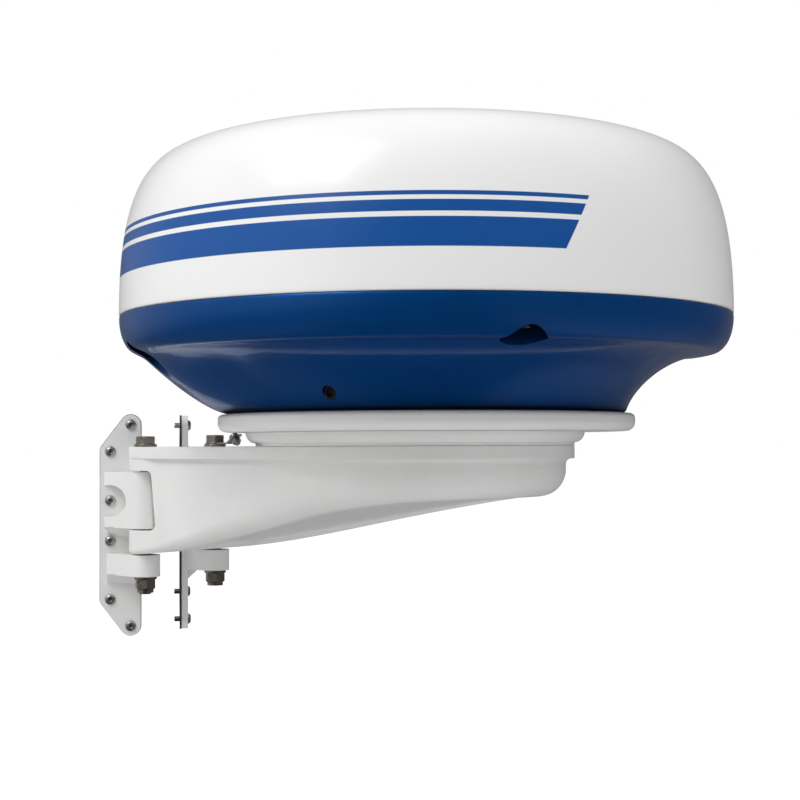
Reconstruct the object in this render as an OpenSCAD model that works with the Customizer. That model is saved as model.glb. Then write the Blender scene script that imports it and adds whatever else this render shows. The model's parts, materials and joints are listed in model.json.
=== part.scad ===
// Radar dome antenna on a cast bracket arm with two hinged mast feet.
// Origin: the mast axis, level with the top face of the arm.
// +X runs along the arm to the radome, +Z is up, the near foot is on the -Y side.

/* [Bracket arm] */
// Distance from the mast axis to the radome axis
arm_reach = 349; // [347:0.5:352]
// Distance of the hinge axes from the mast axis, along the arm
hinge_x = 77; // [76:0.25:78]
// Half the distance between the two hinge axes
hinge_y = 45; // [44:0.25:46]
// Radius of the arm's hinge knuckles
knuckle_r = 14.5; // [14:0.1:15]
// Radius of the rounded outer end of the top flange
end_r = 126; // [122:1:128]
// Distance of the outer end's centre from the mast axis
end_x = 341; // [338:0.5:343]
// Thickness of the top flange
flange_t = 10.5; // [9:0.5:12]
// Depth of the arm at the hinges
arm_deep = 94; // [93:0.5:94]
// How far the underside climbs from the hinges to the outer end
arm_rise = 54; // [48:1:56]
// Wall thickness of the casting
arm_wall = 6; // [5:0.5:8]

/* [Platform] */
// Radius of the round plate
plate_r = 167; // [164:0.5:170]
// Thickness of the round plate
plate_t = 14; // [14:1:14]
// Radius of the riser at its top
riser_r = 136.8; // [134:0.2:138]
// Height of the riser
riser_h = 11; // [11:1:11]
// Distance of the riser's centre from the mast axis
riser_x = 338; // [336:0.5:341]

/* [Mast feet] */
// Radius of the mast the feet are set for
mast_r = 54; // [53:0.25:55]
// Thickness of the isolating pads
pad_t = 1.5; // [1:0.25:1.5]
// Thickness of the foot plates
foot_t = 6; // [5:0.5:7]
// Corner radius of the foot plates, measured round the rivets
foot_r = 9; // [8.5:0.25:9.5]
// Radius of the knuckles on the feet
foot_knuckle_r = 13; // [12:0.25:13]
// Radius of the tool pocket round the middle rivet
tool_pocket_r = 14; // [12:0.5:14]

/* [Hinge fasteners] */
// Radius of the hinge bolts
hinge_bolt_r = 5; // [4.9:0.05:5]
// Radial running clearance of the bolts in the bushes
hinge_clear = 0.06; // [0.03:0.01:0.1]
// Outer radius of the bushes
bush_r = 7; // [6.8:0.1:7.4]
// Width across flats of the hinge bolt heads
hex_af = 16; // [16:1:17]

/* [Radome] */
// Largest radius of the radome
dome_r = 244; // [243:0.5:245]
// Height of the seam between the two mouldings
seam_z = 102; // [101:0.5:103]
// Height of the dome curve above its widest level
dome_h = 141; // [138:1:144]
// Squareness of the dome's shoulder, seen across
dome_n = 10.6; // [9:0.2:12]
// Squareness of the dome's shoulder, seen up
dome_m = 2.49; // [2.3:0.01:2.7]
// Wall thickness of both mouldings
skin = 4.5; // [4:0.25:5]
// Radius of the foot of the lower moulding
base_r = 160; // [158:0.5:161]
// Radius of the ridge where the underside meets the side
ridge_r = 230; // [228:0.5:231]
// Radius of the circle of dome bolts
bolt_ring_r = 223; // [222:0.25:224]
// Angle of the first dome bolt from the arm
bolt_turn = -37.5; // [-40:0.5:-35]
// Radius of the bolt pockets
pocket_r = 16.5; // [15:0.5:17]

/* [Scanner] */
// Gear module
gear_mod = 2; // [2:1:2]
// Teeth on the main gear
main_teeth = 60; // [60:1:60]
// Teeth on the motor pinion
pinion_teeth = 15; // [15:1:15]
// Half the length of the aerial
aerial_half = 203; // [190:1:203]
// Height of the aerial tray
aerial_h = 68; // [60:1:76]
// Radius of the scanner shaft
shaft_r = 8.46; // [8.44:0.01:8.46]

/* [Hidden] */
$fn = 96;

white = [0.93, 0.93, 0.92];
blue = [0.03, 0.24, 0.55];
steel = [0.62, 0.58, 0.53];
dark = [0.12, 0.12, 0.13];
aluminium = [0.72, 0.73, 0.75];
brass = [0.78, 0.62, 0.32];
insert_blue = [0.2, 0.3, 0.6];
seal_black = [0.05, 0.05, 0.05];
cable_black = [0.08, 0.08, 0.09];
gear_ivory = [0.92, 0.91, 0.86];
cover_cream = [0.85, 0.83, 0.74];
magnet_grey = [0.45, 0.45, 0.48];
board_green = [0.05, 0.3, 0.14];
switch_green = [0.1, 0.35, 0.2];

fit = 0.02;                  // gap left between parts that meet

// heights of the foot knuckles
upper_top = -22;
upper_bot = -72;
lower_top = -95;
lower_bot = -114;

// heights of the platform and the radome foot
plate_bot = riser_h;
plate_top = riser_h + plate_t;
base_z = plate_top + 1;      // underside of the radome foot
floor_z = base_z + 5;        // inside floor of the radome

// ---- helpers

function on_circle(centre, radius, angle) = centre + radius * [cos(angle), sin(angle)];

// angle of the outward normal of the line touching two circles on their lower side
function tangent_angle(start, start_r, stop, stop_r) =
    atan2(stop.y - start.y, stop.x - start.x)
    - asin((stop_r - start_r) / norm(stop - start)) - 90;

// point where the line from a point touches a circle; side is -1 or 1
function touch(from, centre, radius, side) =
    let (gap = centre - from,
         turn = asin(radius / norm(gap)),
         reach = sqrt(pow(norm(gap), 2) - radius * radius))
    on_circle(from, reach, atan2(gap.y, gap.x) + side * turn);

module disc(centre, radius) translate(centre) circle(r = radius);

module rod(radius, z, height) translate([0, 0, z]) cylinder(r = radius, h = height);

module ring(outer, inner, z, height) translate([0, 0, z]) difference() {
    cylinder(r = outer, h = height);
    rod(inner, -1, height + 2);
}

module block(corner, size) translate(corner) cube(size);

// copies turned evenly about the Z axis
module around(count, radius, first = 0) for (i = [0 : count - 1])
    rotate([0, 0, first + 360 / count * i]) translate([radius, 0, 0]) children();

module both_sides() for (i = [0, 1]) mirror([0, i, 0]) children();

module on_axis() translate([arm_reach, 0, 0]) children();

// plate outline through equal circles at the corners, given anticlockwise
module corner_plate(corners, radius) {
    count = len(corners);
    polygon([for (i = [0 : count - 1])
        let (from = corners[i],
             to = corners[(i + 1) % count],
             along = (to - from) / norm(to - from),
             out = [along.y, -along.x] * radius)
        each [from + out, to + out]]);
    for (corner = corners) disc(corner, radius);
}

// hexagonal prism with its corners turned down
module hex_head(across_flats, height) intersection() {
    cylinder(r = across_flats / 2 / cos(30), h = height, $fn = 6);
    rotate_extrude() polygon([
        [0, 0], [across_flats * 0.58, 0], [across_flats * 0.58, height - 1.1],
        [across_flats * 0.47, height], [0, height]]);
}

// round head with a hexagonal socket
module cap_head(radius, height, z) translate([0, 0, z]) difference() {
    cylinder(r = radius, h = height);
    rod(radius * 0.55, height * 0.4, height, $fn = 6);
}

// ---- bracket arm

body_knuckle_r = knuckle_r - 1.2; // the body sits inside the edge of the flange
body_end_r = end_r - 7;
arm_end = [end_x, 0];

under_run = 383;             // length over which the underside climbs
end_lean = 9;                // lean of the bowl that rounds the outer end
end_fillet = 22;
end_bow = 40;                // how far the bowl's axis is set back
side_fillet = 18;
side_break_x = 275;          // where the side breaks meet the corner
side_climb = 9.9;            // angle at which the side breaks climb
arm_back_r = 72;             // concave back that clears the mast
gap_back_r = 86.5;           // the same back, between the arm's knuckles

screw_ring_r = 104;          // screws that hold the platform to the arm
screw_hole_r = 3.4;

module at_platform_screws() for (angle = [30 : 60 : 330])
    translate(on_circle(arm_end, screw_ring_r, angle)) children();

// arm seen from above: two hinge circles joined to the round end
module arm_outline(hinge_r, outer_r) {
    hinge = [hinge_x, -hinge_y];
    back_x = hinge_x - hinge_r * 0.98;
    angle = tangent_angle(hinge, hinge_r, arm_end, outer_r);
    hinge_touch = on_circle(hinge, hinge_r, angle);
    end_touch = on_circle(arm_end, outer_r, angle);
    disc(arm_end, outer_r);
    disc(hinge, hinge_r);
    disc([hinge.x, -hinge.y], hinge_r);
    polygon([[back_x, -hinge_y], hinge_touch, end_touch,
             [end_touch.x, -end_touch.y], [hinge_touch.x, -hinge_touch.y], [back_x, hinge_y]]);
}

// height of the underside at distance x from the mast axis
function under(x, lift = 0) =
    let (along = max(0, (x - hinge_x) / under_run))
    -arm_deep + lift
    + arm_rise * (0.38 * along + 2.5 * along * along - 1.9 * along * along * along);

// slab across the arm between the line of the underside and a level;
// lifts are the heights of the line above the underside at its two ends
module side_slab(start_x, stop_x, steps, lifts, level)
    rotate([90, 0, 0]) linear_extrude(height = 320, center = true)
        polygon(concat(
            [for (i = [0 : steps])
                let (x = start_x + (stop_x - start_x) * i / steps)
                [x, under(x, lifts[0] + (lifts[1] - lifts[0]) * i / steps)]],
            [[stop_x, level], [start_x, level]]));

// bowl that rounds the lower corner of the outer end, leaning with the underside
module end_round(wall) {
    bowl_r = body_end_r + end_bow;
    bowl_x = end_x - end_bow;
    bowl_z = under(end_x + body_end_r) - 0.5;
    fillet_x = bowl_r / cos(end_lean) + 1.5 - end_fillet;
    // the arm on the hinge side of the bowl is left as it is
    block([40, -200, -arm_deep - 10], [bowl_x - 40, 400, arm_deep + 20]);
    translate([bowl_x, 0, bowl_z - tan(end_lean) * (bowl_r - 14)])
        rotate([0, -end_lean, 0]) rotate_extrude()
            polygon(concat(
                [[0, wall]],
                [for (angle = [-90 : 11.25 : 11.25])
                    on_circle([fillet_x, end_fillet], end_fillet - wall, angle)],
                [[bowl_r + 90, 150], [0, 150]]));
}

// cuts that break the long lower corners of the arm, following their heading and climb
module side_break() {
    heading = tangent_angle([hinge_x, -hinge_y], body_knuckle_r, arm_end, body_end_r) + 90;
    corner_y = -hinge_y - body_knuckle_r / cos(heading)
        + (side_break_x - hinge_x) * tan(heading);
    both_sides() for (facet = [22.5, 45, 67.5])
        translate([side_break_x, corner_y, under(side_break_x) - 1.5])
            rotate([0, 0, heading]) rotate([0, -side_climb, 0]) rotate([facet - 90, 0, 0])
                block([-215, -60, -60],
                      [450, 120, 60 + side_fillet * (cos(facet) + sin(facet) - 1)]);
}

// shallow recess in the underside, deepest at the hinges
module under_recess() intersection() {
    translate([0, 0, -arm_deep - 10]) linear_extrude(height = arm_deep) {
        disc(arm_end, end_r - 31);
        polygon([[126, -45.5], [end_x - 22.4, -92.3], [end_x - 22.4, 92.3], [126, 45.5]]);
    }
    side_slab(120, 450, 20, [5.2, 0.8], -120);
}

module arm_solid() {
    rotate([0, 0, 0]) translate([0, 0, -flange_t])
        linear_extrude(height = flange_t) arm_outline(knuckle_r, end_r);
    intersection() {
        translate([0, 0, -arm_deep - 4]) linear_extrude(height = arm_deep)
            arm_outline(body_knuckle_r, body_end_r);
        difference() {
            side_slab(50, 470, 24, [0, 0], 2);
            side_break();
        }
        end_round(0);
    }
    at_hinges() rod(knuckle_r, -arm_deep, arm_deep);
}

// pocket round each foot knuckle, open through the side of the arm at 45 degrees
module knuckle_pockets() both_sides()
    translate([hinge_x, hinge_y, upper_bot - 1])
        linear_extrude(height = upper_top - upper_bot + 2) {
            circle(r = foot_knuckle_r + 2.2);
            rotate(45) translate([0, -6.6]) square([60, 26.6]);
        }

module arm_hollow() intersection() {
    translate([0, 0, -arm_deep]) linear_extrude(height = arm_deep - 6.5) intersection() {
        arm_outline(body_knuckle_r - arm_wall, body_end_r - arm_wall);
        translate([116, -200]) square([400, 400]);
    }
    side_slab(50, end_x + end_r, 24, [arm_wall + 5, arm_wall + 5], 0);
    end_round(arm_wall);
}

module arm_casting() color(white) {
    difference() {
        arm_solid();
        under_recess();
        rod(arm_back_r, -arm_deep - 5, arm_deep + 10);
        rod(gap_back_r, upper_bot - 1, upper_top - upper_bot + 2);
        knuckle_pockets();
        at_hinges() rod(hinge_bolt_r + 0.05, -arm_deep - 1, arm_deep + 2);
        arm_hollow();
        // opening at the back for the cable, and at the top under the riser
        block([60, -22, -82], [60, 44, 64]);
        translate(arm_end) rod(86, -8, 10);
        at_platform_screws() rod(screw_hole_r, -20, 22);
    }
    // screw bosses under the flange
    at_platform_screws() difference() {
        rod(8, -17.5, 11.2);
        rod(screw_hole_r, -18.5, 14);
    }
}

// ---- platform

riser_bore_r = 66;
riser_curve = 8.8;           // how far the riser's side sweeps outwards
plate_bore_r = 45;
plate_gap = 0.05;            // gap under the plate
plate_low_round = 7;
plate_top_round = 4;
plate_hole_r = 4.2;
plate_screw_r = 3.95;

module riser_pad() color(white) difference() {
    translate([riser_x, 0, 0]) rotate_extrude() polygon(concat(
        [[riser_bore_r, fit], [riser_r - 6.6, fit]],
        [for (angle = [75 : -7.5 : 0])
            [riser_r - riser_curve + riser_curve * cos(angle),
             riser_h - riser_h * sin(angle) + fit]],
        [[riser_bore_r, riser_h + fit]]));
    at_platform_screws() rod(plate_hole_r, -1, 14);
}

module platform_plate() color(white) difference() {
    on_axis() rotate_extrude() polygon(concat(
        [[plate_bore_r, plate_bot + plate_gap]],
        [for (angle = [-90 : 10 : 0])
            on_circle([plate_r - plate_low_round, plate_bot + plate_gap + plate_low_round],
                      plate_low_round, angle)],
        [for (angle = [0 : 15 : 90])
            on_circle([plate_r, plate_top] - [1, 1] * plate_top_round,
                      plate_top_round, angle)],
        [[plate_bore_r, plate_top]]));
    // countersunk screw holes
    at_platform_screws() {
        rod(plate_hole_r, 0, 40);
        translate([0, 0, plate_top - 5.2]) cylinder(r1 = plate_hole_r, r2 = 8.7, h = 4.5);
        rod(8.7, plate_top - 0.71, 5);
    }
    on_axis() at_radome_bolts() rod(radome_bolt_r + 0.05, 0, 40);
}

module platform_screws() color(steel) at_platform_screws() difference() {
    union() {
        rod(3.35, -16, 40);
        rod(plate_screw_r, 3, plate_top - 5);
        translate([0, 0, plate_top - 5.1]) cylinder(r1 = plate_screw_r, r2 = 8.3, h = 4.4);
    }
    rod(2.9, plate_top - 3.6, 4, $fn = 6);
}

// ---- mast feet, drawn in the foot frame: x along the plate, -y out from the mast

foot_turn = 45;
foot_hinge = [(hinge_x - hinge_y) * sin(45), -(hinge_x + hinge_y) * sin(45)];
back_y = -(mast_r + pad_t);
face_y = -(mast_r + pad_t + foot_t);
// rivet places, x and z
rivets = [[9.5, 20], [-8.5, -4], [-8.5, -48], [-8.5, -84], [-8.5, -136], [9.5, -160]];
foot_corners = [rivets[4], rivets[5], rivets[0], rivets[1]];
rivet_r = 2.4;
rivet_hole_r = rivet_r + 0.05;
rivet_pocket_r = 7.5;
// outline of a rivet, radius and height: dished domed head, shank tapered at its inner end
rivet_profile = [
    [0, -12.5], [2.1, -12.5], [rivet_r - 0.05, -11.7], [rivet_r - 0.05, -7.6],
    [rivet_r, -7.6], [rivet_r, 0],
    [4.8, 0], [4.7, 0.9], [4.1, 1.9], [3.2, 2.5], [2.3, 2.7], [1.75, 2.3], [1.6, 1.1],
    [0, 1.1]];

module at_rivets(places, y) for (place = places)
    translate([place.x, y, place.y]) rotate([90, 0, 0]) children();

// foot knuckle and the web that joins it to the plate
module foot_arm(bottom, top, web_x) {
    web_y = face_y + 1;
    left = [web_x, web_y];
    right = [18, web_y];
    translate([0, 0, bottom]) linear_extrude(height = top - bottom) {
        disc(foot_hinge, foot_knuckle_r);
        polygon([left, touch(left, foot_hinge, foot_knuckle_r, -1), foot_hinge,
                 touch(right, foot_hinge, foot_knuckle_r, 1), right]);
    }
}

// gusset under a foot knuckle
module foot_gusset(z) translate([-11, 0, 0]) rotate([90, 0, 90]) linear_extrude(height = 28)
    polygon([[face_y + 1, z + 1], [face_y - 11, z + 1], [face_y - 8, z - 1],
             [face_y + 1, z - 9]]);

module foot_shape() difference() {
    union() {
        translate([0, back_y, 0]) rotate([90, 0, 0]) linear_extrude(height = foot_t)
            corner_plate(foot_corners, foot_r);
        foot_arm(upper_bot, upper_top, -14.5);
        foot_arm(lower_bot, lower_top, -12.5);
        for (z = [upper_bot, lower_bot]) foot_gusset(z);
    }
    at_rivets(rivets, 0) cylinder(r = rivet_hole_r, h = 140);
    // pockets round the rivets that sit beside the knuckles
    at_rivets([rivets[2]], face_y - fit) cylinder(r = tool_pocket_r, h = 60);
    at_rivets([rivets[1], rivets[3], rivets[4]], face_y - fit)
        cylinder(r = rivet_pocket_r, h = 60);
    // bolt bore, wide enough for the bushes
    translate(foot_hinge) rod(bush_r + fit, lower_bot - 1, upper_top - lower_bot + 2);
}

module pad_shape() translate([0, -mast_r, 0]) rotate([90, 0, 0])
    linear_extrude(height = pad_t - fit) difference() {
        corner_plate(foot_corners, foot_r + 0.6);
        for (place = rivets) disc(place, rivet_hole_r);
    }

module rivet_shape() at_rivets(rivets, face_y - fit) rotate_extrude() polygon(rivet_profile);

module bush_shape() translate(foot_hinge)
    for (span = [[upper_bot, upper_top], [lower_bot, lower_top]])
        ring(bush_r, hinge_bolt_r + hinge_clear, span[0], span[1] - span[0]);

module near_side() rotate([0, 0, foot_turn]) children();
module far_side() mirror([0, 1, 0]) rotate([0, 0, foot_turn]) children();

module near_foot() color(white) near_side() foot_shape();
module far_foot() color(white) far_side() foot_shape();
module near_foot_pad() color(dark) near_side() pad_shape();
module far_foot_pad() color(dark) far_side() pad_shape();
module near_foot_rivets() color(steel) near_side() rivet_shape();
module far_foot_rivets() color(steel) far_side() rivet_shape();
module near_foot_bushes() color(dark) near_side() bush_shape();
module far_foot_bushes() color(dark) far_side() bush_shape();

// ---- hinge fasteners

washer_t = 2.5;
hinge_washer_r = 10;
nut_z = lower_bot - washer_t - 0.1; // top of the hinge nuts
bolt_tip_z = -129.5;
tab_lift = 1.5;              // how far the bonding tab raises the far bolt
tab_t = 1.46;
tab_up = 38;                 // slope of the tab's raised end
tab_flat = 19;               // hinge axis to the bend
tab_slope = 13;              // length of the raised end
tab_hole = 7.6;              // bend to the screw, up the slope

module at_hinges(far_lift = 0) for (side = [-1, 1])
    translate([hinge_x, side * hinge_y, side > 0 ? far_lift : 0]) children();

module hinge_bolts() color(steel) at_hinges(tab_lift) {
    translate([0, 0, washer_t]) rotate([0, 0, 12]) hex_head(hex_af, 6.8);
    rod(hinge_bolt_r, bolt_tip_z, 132.5);
}

module hinge_washers() color(steel) at_hinges() {
    ring(hinge_washer_r, hinge_bolt_r + 0.2, 0, washer_t - fit);
    ring(hinge_washer_r, hinge_bolt_r + 0.2, nut_z, washer_t);
}

module hinge_nuts() color(steel) at_hinges()
    translate([0, 0, nut_z]) mirror([0, 0, 1]) rotate([0, 0, 24]) difference() {
        union() {
            translate([0, 0, fit]) hex_head(hex_af, 8.6);
            cylinder(r = 7.2, h = 11.6);
        }
        rod(hinge_bolt_r + fit, -1, 20);
        rod(6.3, 8.9, 2.1);
    }

module nut_inserts() color(insert_blue) at_hinges()
    ring(6.28, hinge_bolt_r + 0.01, nut_z - 10.95, 2.0);

module at_tab() translate([hinge_x, hinge_y, washer_t]) children();

module at_tab_hole()
    translate([tab_flat + tab_hole * cos(tab_up), 0, tab_hole * sin(tab_up)])
        rotate([0, -tab_up, 0]) children();

// bent earth tab under the far bolt head, with its own screw through the raised end
module bonding_tab() color(steel) at_tab() difference() {
    tip = on_circle([tab_flat, 0], tab_slope, tab_up);
    union() {
        cylinder(r = 8.8, h = tab_t);
        rotate([90, 0, 0]) linear_extrude(height = 10.4, center = true)
            polygon([[0, 0], [tab_flat, 0], tip, on_circle(tip, tab_t, tab_up + 90),
                     [tab_flat - tab_t * tan(tab_up / 2), tab_t], [0, tab_t]]);
    }
    rod(hinge_bolt_r + 0.2, -1, 4);
    at_tab_hole() rod(2.6, -3, 8);
}

module bonding_screw() color(dark) at_tab() at_tab_hole() {
    rod(2.5, -6.3, 9);
    rod(4.2, tab_t + fit, 2.6);
    rod(4.6, -4.1, 4, $fn = 6);
}

// ---- radome mouldings

ridge_z = 72;                // ridge between the underside and the side
rear_ridge_z = ridge_z + 4;
rear_ridge_r = ridge_r + 1;
mid_z = 100;                 // widest level of the rim
rim_dz = 28.5;               // half height of the rim's curve
rim_bulge = 16;              // how far the rim's curve stands out
rear_angle = 112;            // the rear shape lies beyond this angle from the arm
dome_z = seam_z - 5;         // widest level of the dome curve
dome_flare = 0.6;            // extra radius of the dome curve
dome_inset = 0.4;            // outer face of the dome, inside its curve
radome_bolt_ring_r = 132;
radome_bolt_r = 5;
radome_hole_r = 5.3;
pillar_ring_r = 125;         // pillars for the chassis
dome_boss_r = 9;
dome_bolt_r = 3;
dome_insert_r = 5;
bolt_seat_z = 83.4;          // underside of the dome bolts' washers
gland_back = 25;             // gland's distance from the radome axis, towards the mast

module at_radome_bolts() around(4, radome_bolt_ring_r, 45) children();
module at_dome_bolts() around(4, bolt_ring_r, bolt_turn) children();
module at_breather() rotate([0, 0, -79.3]) translate([163.2, 0, 38.5])
    rotate([0, 97, 0]) children();

// radius of the lower moulding at height z: flared away from the mast, fuller towards it
function front_radius(z) = base_r + (ridge_r - base_r)
    * (1 - sqrt(1 - pow((z - base_z) / (ridge_z - base_z), 1.4)));
function rear_radius(z) = base_r + (rear_ridge_r - base_r)
    * pow((z - base_z) / (rear_ridge_z - base_z), 0.72);
function rim_radius(z) =
    dome_r - rim_bulge + rim_bulge * sqrt(1 - pow((mid_z - z) / rim_dz, 2));

// outlines of the lower moulding from its foot up, radius and height
rim_start_z = ridge_z + 0.6;
front_profile = concat(
    [for (i = [0 : 22])
        let (z = base_z + (ridge_z - base_z) * (1 - pow(1 - i / 22, 2)))
        [front_radius(z), z]],
    [for (i = [1 : 11])
        let (z = rim_start_z + (mid_z - rim_start_z) * i / 11)
        [rim_radius(z), z]],
    [[dome_r, seam_z - 0.6]]);
rear_profile = concat(
    [for (i = [0 : 14])
        let (z = base_z + (rear_ridge_z - base_z) * i / 14)
        [rear_radius(z), z]],
    [[rear_ridge_r, mid_z - 6]]);

// the same line moved inward, square to itself
function inward(line, distance) = [for (i = [0 : len(line) - 1])
    let (before = line[max(i - 1, 0)],
         after = line[min(i + 1, len(line) - 1)],
         along = (after - before) / norm(after - before))
    line[i] + distance * [-along.y, along.x]];

// solid turned from a line, closed to the axis at both ends
module turned(line) rotate_extrude()
    polygon(concat([[0, line[0].y]], line, [[0, line[len(line) - 1].y]]));

module lower_body(front, rear) {
    turned(front);
    intersection() {
        turned(rear);
        linear_extrude(height = 200)
            polygon([[0, 0], on_circle([0, 0], 400, rear_angle), [-400, 380],
                     [-400, -380], on_circle([0, 0], 400, -rear_angle)]);
    }
}

module lower_shell() difference() {
    lower_body(front_profile, rear_profile);
    intersection() {
        rod(300, floor_z, 100);
        lower_body(inward(front_profile, skin), inward(rear_profile, skin));
    }
    rod(dome_r - 8, seam_z - 6, 20);
}

module lower_radome() color(blue) on_axis() difference() {
    union() {
        lower_shell();
        // thick bosses that hold the dome bolts
        intersection() {
            lower_body(front_profile, rear_profile);
            at_dome_bolts()
                rod(pocket_r + 4, ridge_z - 20, seam_z - ridge_z + 20 - 0.6);
        }
        around(4, pillar_ring_r) rod(8, floor_z - 1, 14);
    }
    // bolt pockets
    at_dome_bolts() {
        cylinder(r = pocket_r, h = 85);
        cylinder(r = dome_bolt_r + 0.1, h = 120);
        rod(dome_boss_r, seam_z - 5, 20);
    }
    around(4, pillar_ring_r) rod(2.2, floor_z + 1, 20);
    // radome bolts, cable gland, breather, seal groove
    at_radome_bolts() cylinder(r = radome_hole_r, h = 60);
    translate([-gland_back, 0, 0]) cylinder(r = 9.1, h = 60);
    at_breather() rod(5.2, -8, 30);
    ring(dome_r - 2.4, dome_r - 5.6, seam_z - 2.2, 4);
}

module base_gasket() color(dark) on_axis() translate([0, 0, plate_top + 0.01]) difference() {
    cylinder(r = base_r - 1.6, h = 0.98);
    rod(118, -1, 3);
    at_radome_bolts() rod(radome_hole_r, -1, 3);
}

module radome_bolts() color(steel) on_axis() at_radome_bolts() {
    rod(radome_bolt_r, plate_bot + 1, floor_z + 2.5 - plate_bot);
    translate([0, 0, floor_z + 2 + fit]) hex_head(16, 6.4);
}

module radome_bolt_washers() color(steel) on_axis() at_radome_bolts()
    ring(10, radome_bolt_r + 0.2, floor_z + 0.01, 2);

// dome: a rounded-square curve turned about the axis, kept above a level
module dome_body(inset, bottom) intersection() {
    rotate_extrude() polygon(concat(
        [[0, dome_z]],
        [for (i = [0 : 44])
            let (angle = 90 * (i / 44))
            [max(0, (dome_r + dome_flare - inset) * pow(cos(angle), 2 / dome_n)),
             dome_z + (dome_h - inset) * pow(sin(angle), 2 / dome_m)]]));
    rod(260, bottom, 200);
}

module upper_radome() color(white) on_axis() difference() {
    union() {
        difference() {
            dome_body(dome_inset, seam_z);
            dome_body(skin + dome_inset, seam_z - 1);
        }
        // flange inside the lower edge
        difference() {
            rod(dome_r - 3, seam_z, 5);
            rod(dome_r - 12, seam_z - 1, 8);
        }
        // bosses for the inserts
        intersection() {
            at_dome_bolts() {
                rod(dome_boss_r, seam_z, 24);
                block([0, -dome_boss_r, seam_z], [16, 2 * dome_boss_r, 24]);
            }
            dome_body(2, seam_z);
        }
    }
    at_dome_bolts() rod(dome_insert_r + fit, seam_z - 1, 19);
}

module seam_gasket() color(dark) on_axis()
    ring(dome_r - 2.5, dome_r - 5.5, seam_z - 2.18, 2.16);

module dome_inserts() color(brass) on_axis() at_dome_bolts()
    ring(dome_insert_r, dome_bolt_r + 0.05, seam_z + fit, 17.5);

module dome_bolts() color(steel) on_axis() at_dome_bolts() {
    rod(dome_bolt_r, 82, 34);
    translate([0, 0, bolt_seat_z]) mirror([0, 0, 1]) rotate([0, 0, 10]) hex_head(10, 4.6);
}

module dome_bolt_washers() color(steel) on_axis() at_dome_bolts()
    ring(8, dome_bolt_r + 0.1, bolt_seat_z + fit, 1.56);

module breather_plug() color(dark) on_axis() at_breather() difference() {
    union() {
        rod(5.15, -6, 7.2);
        rod(5.15, -7.5, 2);
    }
    rod(3.6, -2.2, 10);
}

// ---- cable

gland_x = arm_reach - gland_back;
gland_r = 9;
gland_bot = base_z - 14;
cable_r = 4.6;
cable_bend_r = 30;
cable_bend_z = -3;           // top of the bend
cable_start_x = 84;

module at_gland() translate([gland_x, 0, 0]) children();

module cable_gland() color(dark) at_gland() difference() {
    union() {
        rod(gland_r, gland_bot, 24);
        rod(13.5, base_z - 7.1, 7, $fn = 6);
    }
    cylinder(r = cable_r + 0.1, h = 60);
    rod(7 + fit, gland_bot - 1, 6);
}

module gland_seal() color(seal_black) at_gland() ring(7, cable_r + fit, gland_bot, 4.9);

module gland_nut() color(dark) at_gland() translate([0, 0, floor_z + 0.05]) difference() {
    cylinder(r = 13, h = 4.5, $fn = 6);
    rod(gland_r + 0.05, -1, 8);
}

// drop from the gland, a quarter bend, then along the arm towards the mast
module power_data_cable() color(cable_black) {
    bend_x = gland_x - cable_bend_r;
    at_gland() rod(cable_r, cable_bend_z, 45);
    translate([bend_x, 0, cable_bend_z]) rotate([90, 0, 0]) rotate_extrude(angle = -90)
        disc([cable_bend_r, 0], cable_r);
    translate([cable_start_x, 0, cable_bend_z - cable_bend_r]) rotate([0, 90, 0])
        cylinder(r = cable_r, h = bend_x - cable_start_x);
}

// ---- chassis, bearings and shaft

chassis_z = 44;              // underside of the chassis plate
chassis_t = 5;
seat_z = chassis_z + chassis_t + fit; // parts stand on the chassis at this height
gear_z = 98;                 // underside of the main gear
gear_t = 8;
gear_top = gear_z + gear_t;
gear_centres = gear_mod * (main_teeth + pinion_teeth) / 2 + 0.1;

housing_screw_ring_r = 30;
hub_screw_ring_r = 16;       // screws through shaft, gear and aerial bracket
motor_screw_ring_r = 16;

bearing_z = [chassis_z + 10.01, chassis_z + 38.01];
bearing_r = 17.5;
bearing_t = 10;
ball_ring_r = 13;

module at_housing_screws() around(6, housing_screw_ring_r) children();
module at_hub_screws() around(4, hub_screw_ring_r, 45) children();
module at_motor_screws() around(4, motor_screw_ring_r, 45) children();

module chassis_plate() color(aluminium) on_axis() difference() {
    union() {
        rod(137, chassis_z, chassis_t);
        around(4, 60, 45) block([0, -2, chassis_z - 5], [72, 4, 6]);
    }
    rod(17, chassis_z - 6, 20);
    around(4, pillar_ring_r) rod(2.8, chassis_z - 1, 10);
    at_housing_screws() rod(1.7, chassis_z - 1, 10);
    // room for the radome bolt heads
    at_radome_bolts() rod(12, chassis_z - 6, 20);
    translate([gear_centres, 0, 0]) at_motor_screws() rod(1.7, chassis_z - 1, 10);
    at_posts(board_posts) rod(1.5, chassis_z - 1, 10);
}

module chassis_screws() color(steel) on_axis() {
    around(4, pillar_ring_r) {
        rod(2.15, 33, 17);
        cap_head(4.2, 4, seat_z);
    }
    at_housing_screws() {
        rod(1.65, chassis_z + 0.5, 10);
        cap_head(3, 2.6, seat_z + 5);
    }
}

module bearing_housing() color(aluminium) on_axis() difference() {
    union() {
        rod(36, seat_z, 5);
        rod(23.5, seat_z, 43);
        around(6, 22, 30) block([0, -1.5, chassis_z + 9], [11, 3, 18]);
    }
    rod(15, chassis_z, 60);
    rod(bearing_r + fit, chassis_z + 10, bearing_t + fit);
    rod(bearing_r + fit, chassis_z + 38, 20);
    at_housing_screws() rod(1.75, chassis_z, 20);
}

// ring of each bearing, grooved for the balls
module bearing_rings(outer, inner) on_axis() for (z = bearing_z)
    translate([0, 0, z]) difference() {
        ring(outer, inner, 0, bearing_t);
        translate([0, 0, bearing_t / 2]) rotate_extrude() disc([ball_ring_r, 0], 3.02);
    }

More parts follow.
